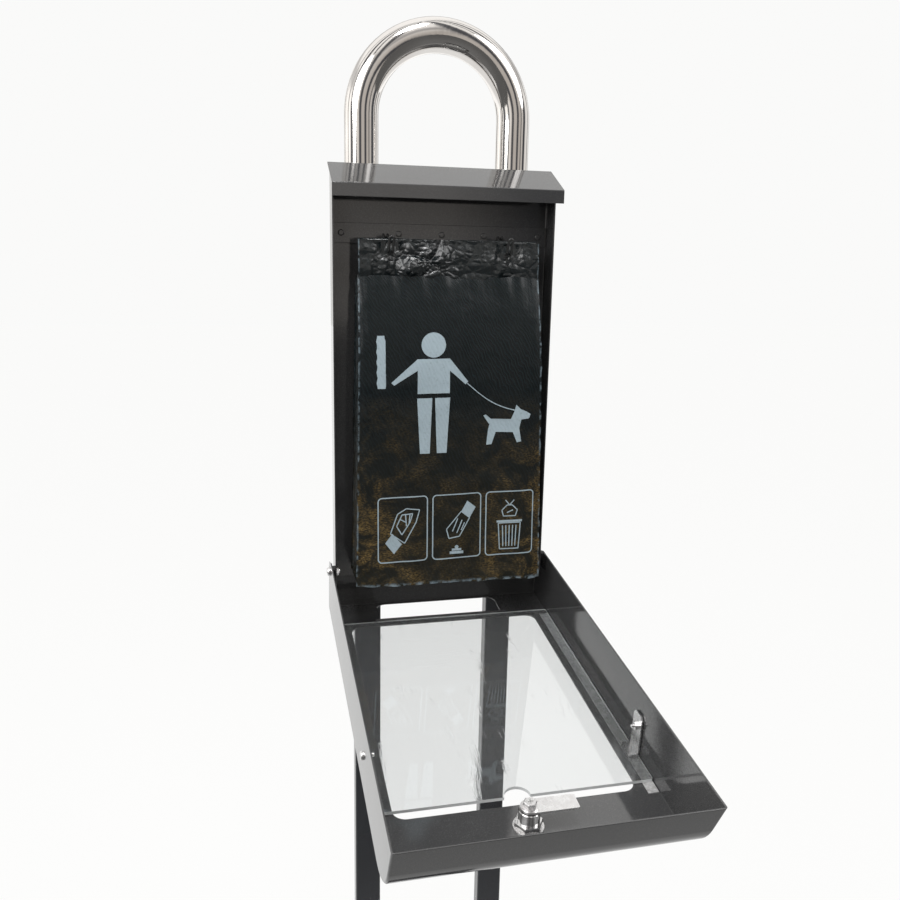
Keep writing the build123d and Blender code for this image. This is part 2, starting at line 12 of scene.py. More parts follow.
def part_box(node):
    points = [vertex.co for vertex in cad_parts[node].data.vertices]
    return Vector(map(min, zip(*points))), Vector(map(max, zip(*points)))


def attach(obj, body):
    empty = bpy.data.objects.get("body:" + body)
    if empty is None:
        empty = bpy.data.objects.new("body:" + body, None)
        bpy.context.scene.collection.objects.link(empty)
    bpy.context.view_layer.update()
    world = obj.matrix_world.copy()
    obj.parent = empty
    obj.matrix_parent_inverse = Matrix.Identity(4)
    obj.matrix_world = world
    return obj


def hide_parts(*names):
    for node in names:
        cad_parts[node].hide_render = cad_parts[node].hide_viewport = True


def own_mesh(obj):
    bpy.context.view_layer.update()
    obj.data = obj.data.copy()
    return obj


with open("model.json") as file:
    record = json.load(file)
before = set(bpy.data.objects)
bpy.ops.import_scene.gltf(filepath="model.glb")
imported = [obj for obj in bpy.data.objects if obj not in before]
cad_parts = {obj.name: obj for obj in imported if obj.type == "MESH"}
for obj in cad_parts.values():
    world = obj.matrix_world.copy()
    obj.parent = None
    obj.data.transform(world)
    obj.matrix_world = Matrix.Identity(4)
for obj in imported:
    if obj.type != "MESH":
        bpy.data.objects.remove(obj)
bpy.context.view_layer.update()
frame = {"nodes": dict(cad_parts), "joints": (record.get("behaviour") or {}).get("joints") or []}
nodes = frame["nodes"]
scene = bpy.context.scene
scene.view_settings.view_transform = "Standard"
MM = 0.001
noise.seed_set(5)  # noise_vector takes its offsets from this seed, or from the clock if none is set


def joint(name):
    return next(j for j in frame["joints"] if j["name"] == name)


# Places and sizes that the materials and the bags share

stack_low, stack_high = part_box("bag_stack")
header_low, header_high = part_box("bag_header")
hinge = Vector(joint("door_hinge")["pos_m"])
PANE_NORMAL = tuple(joint("lock_turn")["axis"])  # the lock turns about the door panel's normal
PACK_MIDDLE = (header_low.x + header_high.x) / 2
BAG_TOP = header_low.z + 0.001
BAG_FOOT = stack_low.z - 0.003
BAG_TOP_HALF = 0.1015
BAG_FOOT_HALF = 0.1075


# Camera, light and floor

CAMERA_PLACE = (-0.21772, -1.04835, 1.38194)
CAMERA_TURN = (77.178, -1.358, -13.708)
CAMERA_LENS = 36.30
CAMERA_SHIFT = (-0.0225, -0.0014)
CAMERA_REACH = 50.0

LAMP_TARGET = (0, -0.1, 1.2)
LAMPS = (  # name, place, size, power
    ("left_lamp", (-1.7, -1.3, 2.4), 1.7, 26),
    ("right_lamp", (1.5, -1.0, 2.6), 1.5, 14),
    ("high_lamp", (-0.2, -0.9, 3.2), 0.6, 16),
)

PALE = (0.955, 0.955, 0.948, 1)
ROOM_FRONT = (0.54, 0.505, 0.47, 1)
ROOM_BACK = (1.0, 0.99, 0.97, 1)
ROOM_LEFT = (1.6, 1.57, 1.52, 1)
ROOM_ABOVE = (1.2, 1.19, 1.17, 1)
ROOM_DARK = (0.03, 0.034, 0.045, 1)

# Dark uprights: centre and half width in degrees round the room (0 is in front and + is to the right), and
# depth of tone. Each is full out to the core, a share of its half width, and fades from there.
ROOM_BARS = ((-104, 6, 0.6), (-74, 12, 0.95), (-42, 7, 0.85), (-14, 10, 0.9), (21, 9, 0.92), (46, 5, 0.75),
             (72, 13, 0.96), (112, 7, 0.7))
ROOM_REAR_BARS = ((-150, 6, 0.75), (-134, 3, 0.5), (136, 4, 0.6), (153, 7, 0.8), (168, 3, 0.5))
BAR_CORE = 0.45
# Dark level beams: the same, with heights from 0 at eye level to 1 overhead
ROOM_BEAMS = ((0.5, 0.16, 0.45),)
BEAM_CORE = 0.4

FLOOR_REACH = 14.0
FLOOR_SEEN = 0.93
FLOOR_PAINT = (0.09, 0.09, 0.09, 1)


def make_camera():
    data = bpy.data.cameras.new("camera")
    data.lens = CAMERA_LENS
    data.sensor_width = 36.0
    data.shift_x, data.shift_y = CAMERA_SHIFT
    data.clip_end = CAMERA_REACH
    camera = bpy.data.objects.new("camera", data)
    camera.location = CAMERA_PLACE
    camera.rotation_euler = [math.radians(a) for a in CAMERA_TURN]
    scene.collection.objects.link(camera)
    scene.camera = camera


def make_area_light(name, place, size, power):
    data = bpy.data.lights.new(name, "AREA")
    data.shape = "DISK"
    data.size = size
    data.energy = power
    lamp = bpy.data.objects.new(name, data)
    lamp.location = place
    lamp.rotation_euler = (Vector(LAMP_TARGET) - Vector(place)).to_track_quat("-Z", "Y").to_euler()
    scene.collection.objects.link(lamp)


def in_radians(bars):
    return [(math.radians(centre), math.radians(half), depth) for centre, half, depth in bars]


def dark_bars(tools, place, bars, core):
    """How dark the bars make a place, which is a bearing or a height."""
    darkness = 0.0
    for centre, half, depth in bars:
        away = tools.math("ABSOLUTE", tools.math("SUBTRACT", place, centre))
        darkness = tools.math("MAXIMUM", darkness, tools.ramp(away, half, half * core, 0.0, depth))
    return darkness


def room_light(tools, direction):
    """A white room: pale behind and above, beige and dimmer in front, with dark upright and level bars."""
    split = tools.add("ShaderNodeSeparateXYZ")
    tools.put(direction, split.inputs[0])
    x, y, z = split.outputs
    back = tools.ramp(y, -0.75, 0.35, 0.0, 1.0)
    left = tools.ramp(x, -0.2, -0.95, 0.0, 0.75)
    up = tools.ramp(z, 0.15, 0.85, 0.0, 0.8)
    wall = tools.mix(back, ROOM_FRONT, ROOM_BACK)
    wall = tools.mix(left, wall, ROOM_LEFT)
    wall = tools.mix(up, wall, ROOM_ABOVE)
    bearing = tools.math("ARCTAN2", x, tools.math("MULTIPLY", y, -1.0))
    bars = dark_bars(tools, bearing, in_radians(ROOM_BARS), BAR_CORE)
    beams = dark_bars(tools, z, ROOM_BEAMS, BEAM_CORE)
    level = tools.ramp(tools.math("ABSOLUTE", z), 0.55, 0.35, 0.0, 1.0)
    rear = tools.math("MULTIPLY", dark_bars(tools, bearing, in_radians(ROOM_REAR_BARS), BAR_CORE), level)
    darkness = tools.math("MAXIMUM", tools.math("MAXIMUM", bars, beams), rear)
    return tools.mix(darkness, wall, ROOM_DARK)


def make_world():
    """The room lights and is mirrored. The camera itself sees a plain pale backdrop."""
    world = bpy.data.worlds.new("studio")
    world.use_nodes = True
    scene.world = world
    world.node_tree.nodes.clear()
    tools = Nodes(world.node_tree)
    direction = tools.add("ShaderNodeTexCoord").outputs["Generated"]
    lit = tools.add("ShaderNodeBackground")
    tools.put(room_light(tools, direction), lit.inputs["Color"])
    seen = tools.add("ShaderNodeBackground")
    tools.put(PALE, seen.inputs["Color"])
    mix = tools.add("ShaderNodeMixShader")
    tools.put(tools.add("ShaderNodeLightPath").outputs["Is Camera Ray"], mix.inputs[0])
    tools.put(lit.outputs[0], mix.inputs[1])
    tools.put(seen.outputs[0], mix.inputs[2])
    tools.put(mix.outputs[0], tools.add("ShaderNodeOutputWorld").inputs["Surface"])


def floor_glow(m):
    """The floor's own light: even to the camera. To other rays it is dim in front and brighter behind."""
    split = m.add("ShaderNodeSeparateXYZ")
    m.put(m.place(), split.inputs[0])
    near = m.ramp(split.outputs["Y"], -0.9, 0.5, 0.05, 0.84)
    far = m.ramp(split.outputs["Y"], 2.2, 4.0, 0.0, 0.4)
    seen = m.add("ShaderNodeLightPath").outputs["Is Camera Ray"]
    unseen = m.math("MULTIPLY", m.math("SUBTRACT", 1.0, seen), m.math("ADD", near, far))
    return m.math("ADD", m.math("MULTIPLY", seen, FLOOR_SEEN), unseen)


def floor_material():
    m = Material("floor_white")
    m.set(base_color=FLOOR_PAINT, roughness=1.0, specular_ior_level=0.0)
    glow = m.add("ShaderNodeEmission")
    m.put(PALE, glow.inputs["Color"])
    m.put(floor_glow(m), glow.inputs["Strength"])
    both = m.add("ShaderNodeAddShader")
    m.put(glow.outputs[0], both.inputs[0])
    m.put(m.shader.outputs[0], both.inputs[1])
    m.put(both.outputs[0], m.out.inputs["Surface"])
    return m.material


def make_floor():
    mesh = bpy.data.meshes.new("floor")
    corners = [(x * FLOOR_REACH, y * FLOOR_REACH, 0) for x, y in ((-1, -1), (1, -1), (1, 1), (-1, 1))]
    mesh.from_pydata(corners, [], [(0, 1, 2, 3)])
    floor = add_piece("floor", mesh, floor_material())


# Material building

MIX_A, MIX_B, MIX_RESULT = 6, 7, 2  # the colour sockets of a Mix node


class Nodes:
    """Short calls for making and joining shader nodes."""

    def __init__(self, tree):
        self.tree = tree

    def add(self, kind, **settings):
        node = self.tree.nodes.new(kind)
        for key, value in settings.items():
            setattr(node, key, value)
        return node

    def put(self, value, socket):
        """Joins another node's socket to this one, or sets a plain value."""
        if isinstance(value, bpy.types.NodeSocket):
            self.tree.links.new(value, socket)
        else:
            socket.default_value = value

    def math(self, operation, a, b=0.0, clamp=False):
        node = self.add("ShaderNodeMath", operation=operation, use_clamp=clamp)
        self.put(a, node.inputs[0])
        self.put(b, node.inputs[1])
        return node.outputs[0]

    def place(self, scale=(1, 1, 1)):
        """Object coordinates in metres, scaled along each axis."""
        coord = self.add("ShaderNodeTexCoord")
        mapping = self.add("ShaderNodeMapping")
        self.put(scale, mapping.inputs["Scale"])
        self.put(coord.outputs["Object"], mapping.inputs["Vector"])
        return mapping.outputs[0]

    def noise(self, scale, detail=3.0, rough=0.5, stretch=(1, 1, 1), distortion=0.0):
        node = self.add("ShaderNodeTexNoise")
        self.put(scale, node.inputs["Scale"])
        self.put(detail, node.inputs["Detail"])
        self.put(rough, node.inputs["Roughness"])
        self.put(distortion, node.inputs["Distortion"])
        self.put(self.place(stretch), node.inputs["Vector"])
        return node.outputs["Fac"]

    def wave(self, scale, direction, distortion=0.0, stretch=(1, 1, 1)):
        node = self.add("ShaderNodeTexWave", bands_direction=direction)
        self.put(scale, node.inputs["Scale"])
        self.put(distortion, node.inputs["Distortion"])
        self.put(1.0, node.inputs["Detail"])
        self.put(self.place(stretch), node.inputs["Vector"])
        return node.outputs["Fac"]

    def ramp(self, value, low, high, start, end):
        """Goes evenly from start to end as the value goes from low to high, and stays there beyond them."""
        node = self.add("ShaderNodeMapRange", clamp=True)
        self.put(value, node.inputs["Value"])
        for key, number in (("From Min", low), ("From Max", high), ("To Min", start), ("To Max", end)):
            self.put(number, node.inputs[key])
        return node.outputs[0]

    def mix(self, factor, a, b):
        node = self.add("ShaderNodeMix", data_type="RGBA")
        self.put(factor, node.inputs[0])
        self.put(a, node.inputs[MIX_A])
        self.put(b, node.inputs[MIX_B])
        return node.outputs[MIX_RESULT]


class Material(Nodes):
    """A principled material, with its bump heights added up."""

    def __init__(self, name):
        self.material = bpy.data.materials.new(name)
        self.material.use_nodes = True
        super().__init__(self.material.node_tree)
        self.shader = next(n for n in self.tree.nodes if n.type == "BSDF_PRINCIPLED")
        self.out = next(n for n in self.tree.nodes if n.type == "OUTPUT_MATERIAL")
        self.normal = None

    def set(self, **values):
        for key, value in values.items():
            self.put(value, self.shader.inputs[key.replace("_", " ").title().replace("Ior", "IOR")])

    def bump(self, height, depth):
        node = self.add("ShaderNodeBump")
        self.put(depth, node.inputs["Distance"])
        self.put(height, node.inputs["Height"])
        if self.normal is not None:
            self.put(self.normal, node.inputs["Normal"])
        self.normal = node.outputs[0]
        self.put(self.normal, self.shader.inputs["Normal"])


def grey(value, warm=0.0):
    return (value * (1 + warm), value, value, 1.0)


# Metal, paint, plastic, tape and glass

EDGE_RADIUS = 0.0011
TUBE_STEEL = (0.80, 0.775, 0.75, 1)
TUBE_STAIN = (0.60, 0.56, 0.53, 1)
PANE_TINT = (0.93, 0.945, 0.945, 1)
PANE_HAZE = (0.9, 0.92, 0.92, 1)
PANE_DUST = 0.035
ACRYLIC_IOR = 1.49


def powder_coat(name, base, rough, tint=(1.0, 1.0, 1.02)):
    """Glossy dark paint with a fine grain, and rounded sharp edges that catch a line of light."""
    m = Material(name)
    cloudy = m.noise(7.0, 4.0)
    grain = m.noise(1300.0, 2.0)
    low, high = [[base * share * t for t in tint] + [1] for share in (0.85, 1.15)]
    tone = m.mix(m.ramp(cloudy, 0.3, 0.7, 0.0, 1.0), low, high)
    m.set(base_color=m.mix(m.ramp(grain, 0.52, 0.8, 0.0, 0.5), tone, grey(base * 3.2)))
    m.set(roughness=m.ramp(m.noise(22.0, 5.0, stretch=(1, 1, 0.35)), 0.35, 0.75, rough, rough + 0.05))
    m.set(specular_ior_level=0.95)
    edge = m.add("ShaderNodeBevel", samples=6)
    m.put(EDGE_RADIUS, edge.inputs["Radius"])
    m.normal = edge.outputs[0]
    m.bump(grain, 0.012 * MM)
    m.bump(m.noise(150.0, 2.0), 0.02 * MM)
    return m.material


def polished_tube():
    """Polished steel, with faint streaks along the tube and brownish stains."""
    m = Material("polished_tube")
    streak = m.noise(190.0, 4.0, stretch=(1, 1, 0.02))
    stain = m.ramp(m.noise(18.0, 5.0, 0.6), 0.4, 0.75, 0.0, 0.5)
    m.set(base_color=m.mix(stain, TUBE_STEEL, TUBE_STAIN))
    m.set(metallic=1.0, roughness=m.ramp(streak, 0.35, 0.7, 0.05, 0.12))
    m.bump(streak, 0.03 * MM)
    m.bump(m.noise(14.0, 2.0, stretch=(1, 1, 0.3)), 0.4 * MM)
    return m.material


def plain_metal(name, base, rough, spread, mottle=260.0, dull=0.72):
    """Spotted metal with fine scuffs: dull is the darker spots' share of the base tone."""
    m = Material(name)
    spots = m.noise(mottle, 4.0, 0.6)
    scuffs = m.noise(900.0, 2.0, stretch=(1, 0.15, 1))
    m.set(base_color=m.mix(m.ramp(spots, 0.35, 0.7, 0.0, 1.0), grey(base), grey(base * dull, 0.02)))
    m.set(metallic=1.0, roughness=m.ramp(spots, 0.3, 0.7, rough, rough + spread))
    m.bump(scuffs, 0.05 * MM)
    return m.material


def satin_plastic(name, base, rough):
    m = Material(name)
    grain = m.noise(900.0, 3.0)
    m.set(base_color=m.mix(grain, grey(base * 0.8), grey(base * 1.25)), roughness=rough)
    m.bump(grain, 0.1 * MM)
    return m.material


def mounting_tape():
    """Grey foam tape seen through the pane, with blotches where it has wetted the acrylic."""
    m = Material("mounting_tape")
    blotch = m.noise(260.0, 4.0, 0.65, distortion=0.6)
    fine = m.noise(1100.0, 2.0)
    tone = m.mix(m.ramp(blotch, 0.38, 0.62, 0.0, 1.0), grey(0.30), grey(0.52))
    m.set(base_color=m.mix(m.ramp(fine, 0.5, 0.75, 0.0, 0.5), tone, grey(0.72)), roughness=0.5)
    m.bump(blotch, 0.3 * MM)
    return m.material


def sawn_edges(m):
    """0 on the pane's faces and 0.8 on its sawn edges."""
    facing = m.add("ShaderNodeVectorMath", operation="DOT_PRODUCT")
    m.put(m.add("ShaderNodeTexCoord").outputs["Normal"], facing.inputs[0])
    m.put(PANE_NORMAL, facing.inputs[1])
    return m.ramp(m.math("ABSOLUTE", facing.outputs["Value"]), 0.5, 0.3, 0.0, 0.8)


def clear_pane():
    """Clear acrylic: sawn edges that catch the light, and faint smudges and scratches on its faces, whose
    white haze is partly their own and partly painted reflection streaks.
    """
    m = Material("clear_pane")
    scratch = m.noise(60.0, 6.0, 0.7, stretch=(1, 0.12, 1), distortion=1.2)
    smudge = m.noise(26.0, 5.0, 0.62, distortion=0.8)
    m.set(base_color=PANE_TINT, transmission_weight=1.0, ior=ACRYLIC_IOR)
    m.set(roughness=m.ramp(smudge, 0.45, 0.8, 0.0, 0.02))
    m.bump(m.ramp(scratch, 0.6, 0.72, 0.0, 1.0), 0.02 * MM)
    haze = m.add("ShaderNodeBsdfDiffuse")
    m.put(PANE_HAZE, haze.inputs["Color"])
    # White haze along the scratches and smudges: partly the marks' own haze, partly painted reflection
    # streaks
    marks = m.math("MULTIPLY", m.ramp(scratch, 0.57, 0.7, 0.0, 1.0), m.ramp(smudge, 0.5, 0.72, 0.0, 0.3))
    veil = m.add("ShaderNodeMixShader")
    m.put(m.math("ADD", m.math("ADD", marks, PANE_DUST), sawn_edges(m), clamp=True), veil.inputs[0])
    m.put(m.shader.outputs[0], veil.inputs[1])
    m.put(haze.outputs[0], veil.inputs[2])
    m.put(veil.outputs[0], m.out.inputs["Surface"])
    return m.material


def dress_cad_nodes():
    coat = powder_coat("powder_coat", 0.052, 0.05)
    post_coat = powder_coat("post_coat", 0.028, 0.12, (0.92, 1.0, 1.2))
    zinc = plain_metal("zinc", 0.86, 0.22, 0.1, 180.0, 0.9)
    chrome = plain_metal("lock_chrome", 0.78, 0.06, 0.1, 120.0)
    stainless = plain_metal("stainless", 0.5, 0.3, 0.15)
    finishes = {
        coat: ("cabinet_shell", "rain_lid", "lid_rivets", "hook_rail", "rail_rivets", "door_tray",
               "slot_guide_rod", "crossbar_upper", "crossbar_middle", "crossbar_lower"),
        post_coat: ("base_plate", "post_left", "post_right"),
        polished_tube(): ("arch_tube",),
        stainless: ("transition_plates", "cabinet_bolts", "cabinet_nuts"),
        zinc: ("hinge_screws", "hinge_nuts", "pane_clip_left", "pane_clip_right", "clip_screws", "clip_nuts",
               "lock_washer", "lock_cam", "cam_screw"),
        chrome: ("lock_body", "lock_nut", "lock_plug"),
        satin_plastic("black_wire", 0.035, 0.16): ("hook_left", "hook_right"),
        satin_plastic("nylon", 0.03, 0.5): ("hinge_spacers",),
        clear_pane(): ("window_pane",),
        mounting_tape(): ("pane_tape_left", "pane_tape_right"),
    }
    for material, names in finishes.items():
        for name in names:
            mesh = nodes[name].data
            mesh.materials.clear()
            mesh.materials.append(material)


# Bag film and its print

FILM_TOP = (0.0055, 0.0085, 0.0095, 1)
# Painted warm sheen: the film's tone turns brown towards the foot
PAINTED_WARM_SHEEN = (0.0155, 0.0150, 0.0110, 1)
FILM_SHIMMER = (0.020, 0.031, 0.038, 1)
# Painted golden glints that stand in for warm reflections in the film's folds
PAINTED_GLINT_GOLD = (0.30, 0.195, 0.065, 1)
# Painted highlight: a lighter blue along the bag's sides and foot
PAINTED_RIM_HIGHLIGHT = (0.20, 0.26, 0.30, 1)
PAINTED_SHEEN_STARTS = hinge.z + 0.22
PAINTED_SHEEN_FULL = hinge.z + 0.03
RIM_WIDTH = 0.0024
RIM_FADE = 0.0006
FOOT_RIM = 0.004
FOOT_RIM_FADE = 0.001
INK_SHADED = (0.36, 0.45, 0.50, 1)
INK_LIT = (0.39, 0.48, 0.53, 1)
INK_WORN = (0.12, 0.16, 0.18, 1)


def film_weave(m):
    """The fine crossed lines of the pressed film, and the broad shimmer that they give."""
    fine = m.math("MULTIPLY", m.wave(700.0, "Z", 0.4), m.wave(700.0, "X", 0.4))
    broad = m.wave(150.0, "DIAGONAL", 6.0, stretch=(1.0, 1.0, 0.45))
    return fine, broad


def painted_rim_highlight(m, height, from_middle):
    """A painted highlight where the welded sides and the foot of the front bag catch the light, broken up
    along their length.
    """
    half = m.ramp(height, BAG_TOP, BAG_FOOT, BAG_TOP_HALF, BAG_FOOT_HALF)
    edge = m.ramp(m.math("SUBTRACT", from_middle, half), -RIM_WIDTH, -RIM_FADE, 0.0, 1.0)
    foot = m.ramp(height, BAG_FOOT + FOOT_RIM, BAG_FOOT + FOOT_RIM_FADE, 0.0, 1.0)
    broken = m.ramp(m.noise(130.0, 3.0, 0.6), 0.45, 0.62, 0.0, 0.8)
    return m.math("MULTIPLY", m.math("MAXIMUM", edge, foot), broken)


def painted_film_glint(m, low, from_middle):
    """Painted golden glints: patches of fine crosswise streaks that grow towards the foot and the sides."""
    side = m.ramp(from_middle, 0.02, 0.1, 0.3, 1.0)
    patch = m.ramp(m.noise(20.0, 5.0, 0.65, stretch=(1.4, 1, 1.6), distortion=0.8), 0.44, 0.68, 0.0, 1.0)
    glint_streaks = m.ramp(m.noise(1000.0, 2.0, stretch=(0.35, 1, 1)), 0.42, 0.66, 0.1, 1.0)
    return m.math("MULTIPLY", m.math("MULTIPLY", low, side), m.math("MULTIPLY", patch, glint_streaks))


def bag_film(name="bag_film", glint_strength=1.0, rough=0.16, gloss=0.34, pebble=0.12 * MM, rim=1.0):
    """Thin black film, blue-green at the top. Painted light: a warm brown sheen and golden glints towards the
    foot and sides, a blue shimmer in broad bands, and a highlight along the rim, scaled by rim.
    """
    m = Material(name)
    fine, broad = film_weave(m)
    split = m.add("ShaderNodeSeparateXYZ")
    m.put(m.place(), split.inputs[0])
    height = split.outputs["Z"]
    from_middle = m.math("ABSOLUTE", m.math("SUBTRACT", split.outputs["X"], PACK_MIDDLE))
    # Painted sheen mask: none above the first height, full at the second, near the foot; it warms the tone
    # and brings in the glints
    low = m.ramp(height, PAINTED_SHEEN_STARTS, PAINTED_SHEEN_FULL, 0.0, 1.0)
    shimmer = m.math("MULTIPLY", m.ramp(broad, 0.45, 0.95, 0.0, 0.36), m.ramp(fine, 0.2, 0.8, 0.3, 1.0))
    tone = m.mix(shimmer, m.mix(low, FILM_TOP, PAINTED_WARM_SHEEN), FILM_SHIMMER)
    # Painted golden glints laid over the film's tone
    tone = m.mix(m.math("MULTIPLY", painted_film_glint(m, low, from_middle), glint_strength), tone, PAINTED_GLINT_GOLD)
    # The rim's lighter blue is a painted highlight
    m.set(base_color=m.mix(m.math("MULTIPLY", painted_rim_highlight(m, height, from_middle), rim), tone, PAINTED_RIM_HIGHLIGHT))
    m.set(roughness=m.ramp(m.noise(55.0, 4.0), 0.3, 0.7, rough, rough + 0.1), specular_ior_level=gloss)
    m.bump(m.noise(26.0, 3.0, 0.55, stretch=(2.6, 1, 0.35), distortion=0.5), 1.2 * MM)
    m.bump(fine, 0.03 * MM)
    m.bump(m.noise(320.0, 4.0, 0.6, distortion=1.0), pebble)
    return m.material


def bag_print():
    """Pale ink that follows the film's weave and has worn thin in spots."""
    m = Material("bag_print")
    fine, broad = film_weave(m)
    worn = m.ramp(m.noise(420.0, 3.0), 0.56, 0.8, 0.0, 0.4)
    tone = m.mix(m.ramp(broad, 0.2, 0.9, 0.0, 1.0), INK_SHADED, INK_LIT)
    m.set(base_color=m.mix(worn, tone, INK_WORN), roughness=0.5)
    m.bump(fine, 0.05 * MM)
    return m.material


# Bag pack

# The front bag: how far its parts stand out from a flat sheet
TOP_GAP = 0.004
BAG_SWELL = 0.0105
FILLED_OUT = 0.34  # share of the way down where the bag has reached its full depth
EDGE_TURN = 0.003
FOLD = 0.0026
PLEAT = 0.0016
CREASE = 0.0006
PUCKER = 0.0022
FOOT_CRUSH = 0.0024

# The bundles behind it
BUNDLES = 13
BUNDLE_FILL = 0.86  # share of its own room that each bundle fills
BUNDLE_COLUMNS, BUNDLE_ROWS = 26, 60
BUNDLE_INSET = 0.0012
BUNDLE_GAP = 0.0022
BUNDLE_WANDER = 0.0018
BUNDLE_RAGGED = 0.0022

# The header film
HOOK_REACH = 0.016
HOOK_PULL = 0.0052
CRUSH = 0.0095
FINE_CRUSH = 0.003
HEADER_GAP = 0.0025


def ripple(x, seed, z):
    """Smooth noise from -1 to 1 over a sheet, with its own pattern for each seed."""
    return noise.noise(Vector((x, seed, z)))


def add_piece(name, mesh, material, smooth=False):
    """Puts a mesh into the scene in one material, and shades it smooth if asked."""
    mesh.materials.clear()
    mesh.materials.append(material)
    if smooth:
        for polygon in mesh.polygons:
            polygon.use_smooth = True
    piece = bpy.data.objects.new(name, mesh)
    scene.collection.objects.link(piece)
    return piece


def bag_front(x, z):
    """Depth of the front bag at a place: hollow under the header, full at the foot, and gently creased."""
    x -= PACK_MIDDLE
    down = (BAG_TOP - z) / (BAG_TOP - BAG_FOOT)
    top_y = header_low.y - TOP_GAP
    full_y = stack_low.y - BAG_SWELL * down ** 1.3
    swell = 1 - (1 - min(1.0, max(0.0, down) / FILLED_OUT)) ** 2
    y = top_y + (full_y - top_y) * swell
    y += EDGE_TURN * (min(1.0, abs(x) / BAG_TOP_HALF)) ** 12
    folds = ripple(x * 14, 3.1, z * 4) * FOLD
    pleats = ripple(x * 48, 6.4, z * 3.2) * PLEAT * max(0.0, down) ** 1.5
    creases = noise.ridged_multi_fractal(Vector((x * 20, 9.0, z * 26)), 0.9, 2.1, 3, 0.9, 2.0) * CREASE
    puckers = ripple(x * 95, 1.7, z * 20) * PUCKER * math.exp(-down * 18)
    foot = ripple(x * 60, 5.2, z * 60) * FOOT_CRUSH * math.exp(-(1 - down) * 14)
    return y + folds + pleats - creases + puckers + foot


def half_width(z):
    down = (BAG_TOP - z) / (BAG_TOP - BAG_FOOT)
    return BAG_TOP_HALF + (BAG_FOOT_HALF - BAG_TOP_HALF) * down


def grid_object(name, columns, rows, point, material):
    """A sheet of quads through point(u, v), with u and v from 0 to 1."""
    mesh = bpy.data.meshes.new(name)
    verts = [point(i / columns, j / rows) for j in range(rows + 1) for i in range(columns + 1)]
    faces = []
    for j in range(rows):
        for i in range(columns):
            a = j * (columns + 1) + i
            faces.append((a, a + 1, a + columns + 2, a + columns + 1))
    mesh.from_pydata(verts, [], faces)
    return add_piece(name, mesh, material, smooth=True)


def front_bag(film):
    """One bag's film from under the header to the foot, with wandering sides and a wavy top and foot."""
    def point(u, v):
        z = BAG_TOP + (BAG_FOOT - BAG_TOP) * v
        edge = ripple(v * 30, 2.0 if u < 0.5 else 7.0, 0) * 0.001
        x = PACK_MIDDLE + (2 * u - 1) * half_width(z) + edge * (2 * abs(u - 0.5)) ** 6
        wavy = ripple(x * 45, 4.0, 0) * 0.003 * v ** 8
        wavy += ripple(x * 60, 8.0, 0) * 0.0012 * (1 - v) ** 8
        return (x, bag_front(x, z), z + wavy)
    piece = grid_object("front_bag", 120, 190, point, film)
    return piece


def bag_layers(film):
    """The folded bags behind the front one, as closed slabs with uneven edges: each stands for a few bags."""
    bm = bmesh.new()
    for layer in range(BUNDLES):
        share = layer / BUNDLES
        seed = layer * 5.3
        near = slab_side(bm, share, seed)
        far = slab_side(bm, share + BUNDLE_FILL / BUNDLES, seed)
        close_slab(bm, near, far)
    mesh = bpy.data.meshes.new("bag_layers")
    bm.to_mesh(mesh)
    bm.free()
    return add_piece("bag_layers", mesh, film, smooth=True)


def slab_side(bm, share, seed):
    """One side of a bundle, row by row. The share is 0 at the front bag and 1 at the back of the pack."""
    back_y = stack_high.y - 0.001
    top = BAG_TOP - 0.002
    foot = BAG_FOOT + 0.003
    corners = []
    for j in range(BUNDLE_ROWS + 1):
        v = j / BUNDLE_ROWS
        for i in range(BUNDLE_COLUMNS + 1):
            u = i / BUNDLE_COLUMNS
            z = top + (foot - top) * v
            reach = half_width(z) - BUNDLE_INSET + ripple(v * 9, seed, u) * BUNDLE_WANDER
            x = PACK_MIDDLE + (2 * u - 1) * reach
            front = bag_front(x, z) + BUNDLE_GAP
            y = front + (back_y - front) * share
            z += ripple(x * 30, seed, 2.0) * BUNDLE_RAGGED * v ** 10
            corners.append(bm.verts.new((x, y, z)))
    return corners


def close_slab(bm, near, far):
    """Faces over both sides of a bundle, and round its rim."""
    columns, rows = BUNDLE_COLUMNS, BUNDLE_ROWS
    wide = columns + 1
    for j in range(rows):
        for i in range(columns):
            a = j * wide + i
            bm.faces.new((near[a], near[a + 1], near[a + wide + 1], near[a + wide]))
            bm.faces.new((far[a], far[a + wide], far[a + wide + 1], far[a + 1]))
    rim = list(range(wide)) + [j * wide + columns for j in range(1, rows + 1)]
    rim += [rows * wide + i for i in range(columns - 1, -1, -1)] + [j * wide for j in range(rows - 1, 0, -1)]
    for a, b in zip(rim, rim[1:] + rim[:1]):
        bm.faces.new((near[a], far[a], far[b], near[b]))


def crumple(x, z, size, seed):
    """Cones between random points, which meet in sharp creases as crushed film does."""
    bend = noise.noise_vector(Vector((x * size * 0.6, seed, z * size * 0.6))) * 0.45
    near, _ = noise.voronoi(Vector((x * size, seed, z * size * 1.35)) + bend)
    return near[1] - near[0]


def hook_places():
    boxes = [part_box(name) for name in ("hook_left", "hook_right")]
    return [(low.x + high.x) / 2 for low, high in boxes]


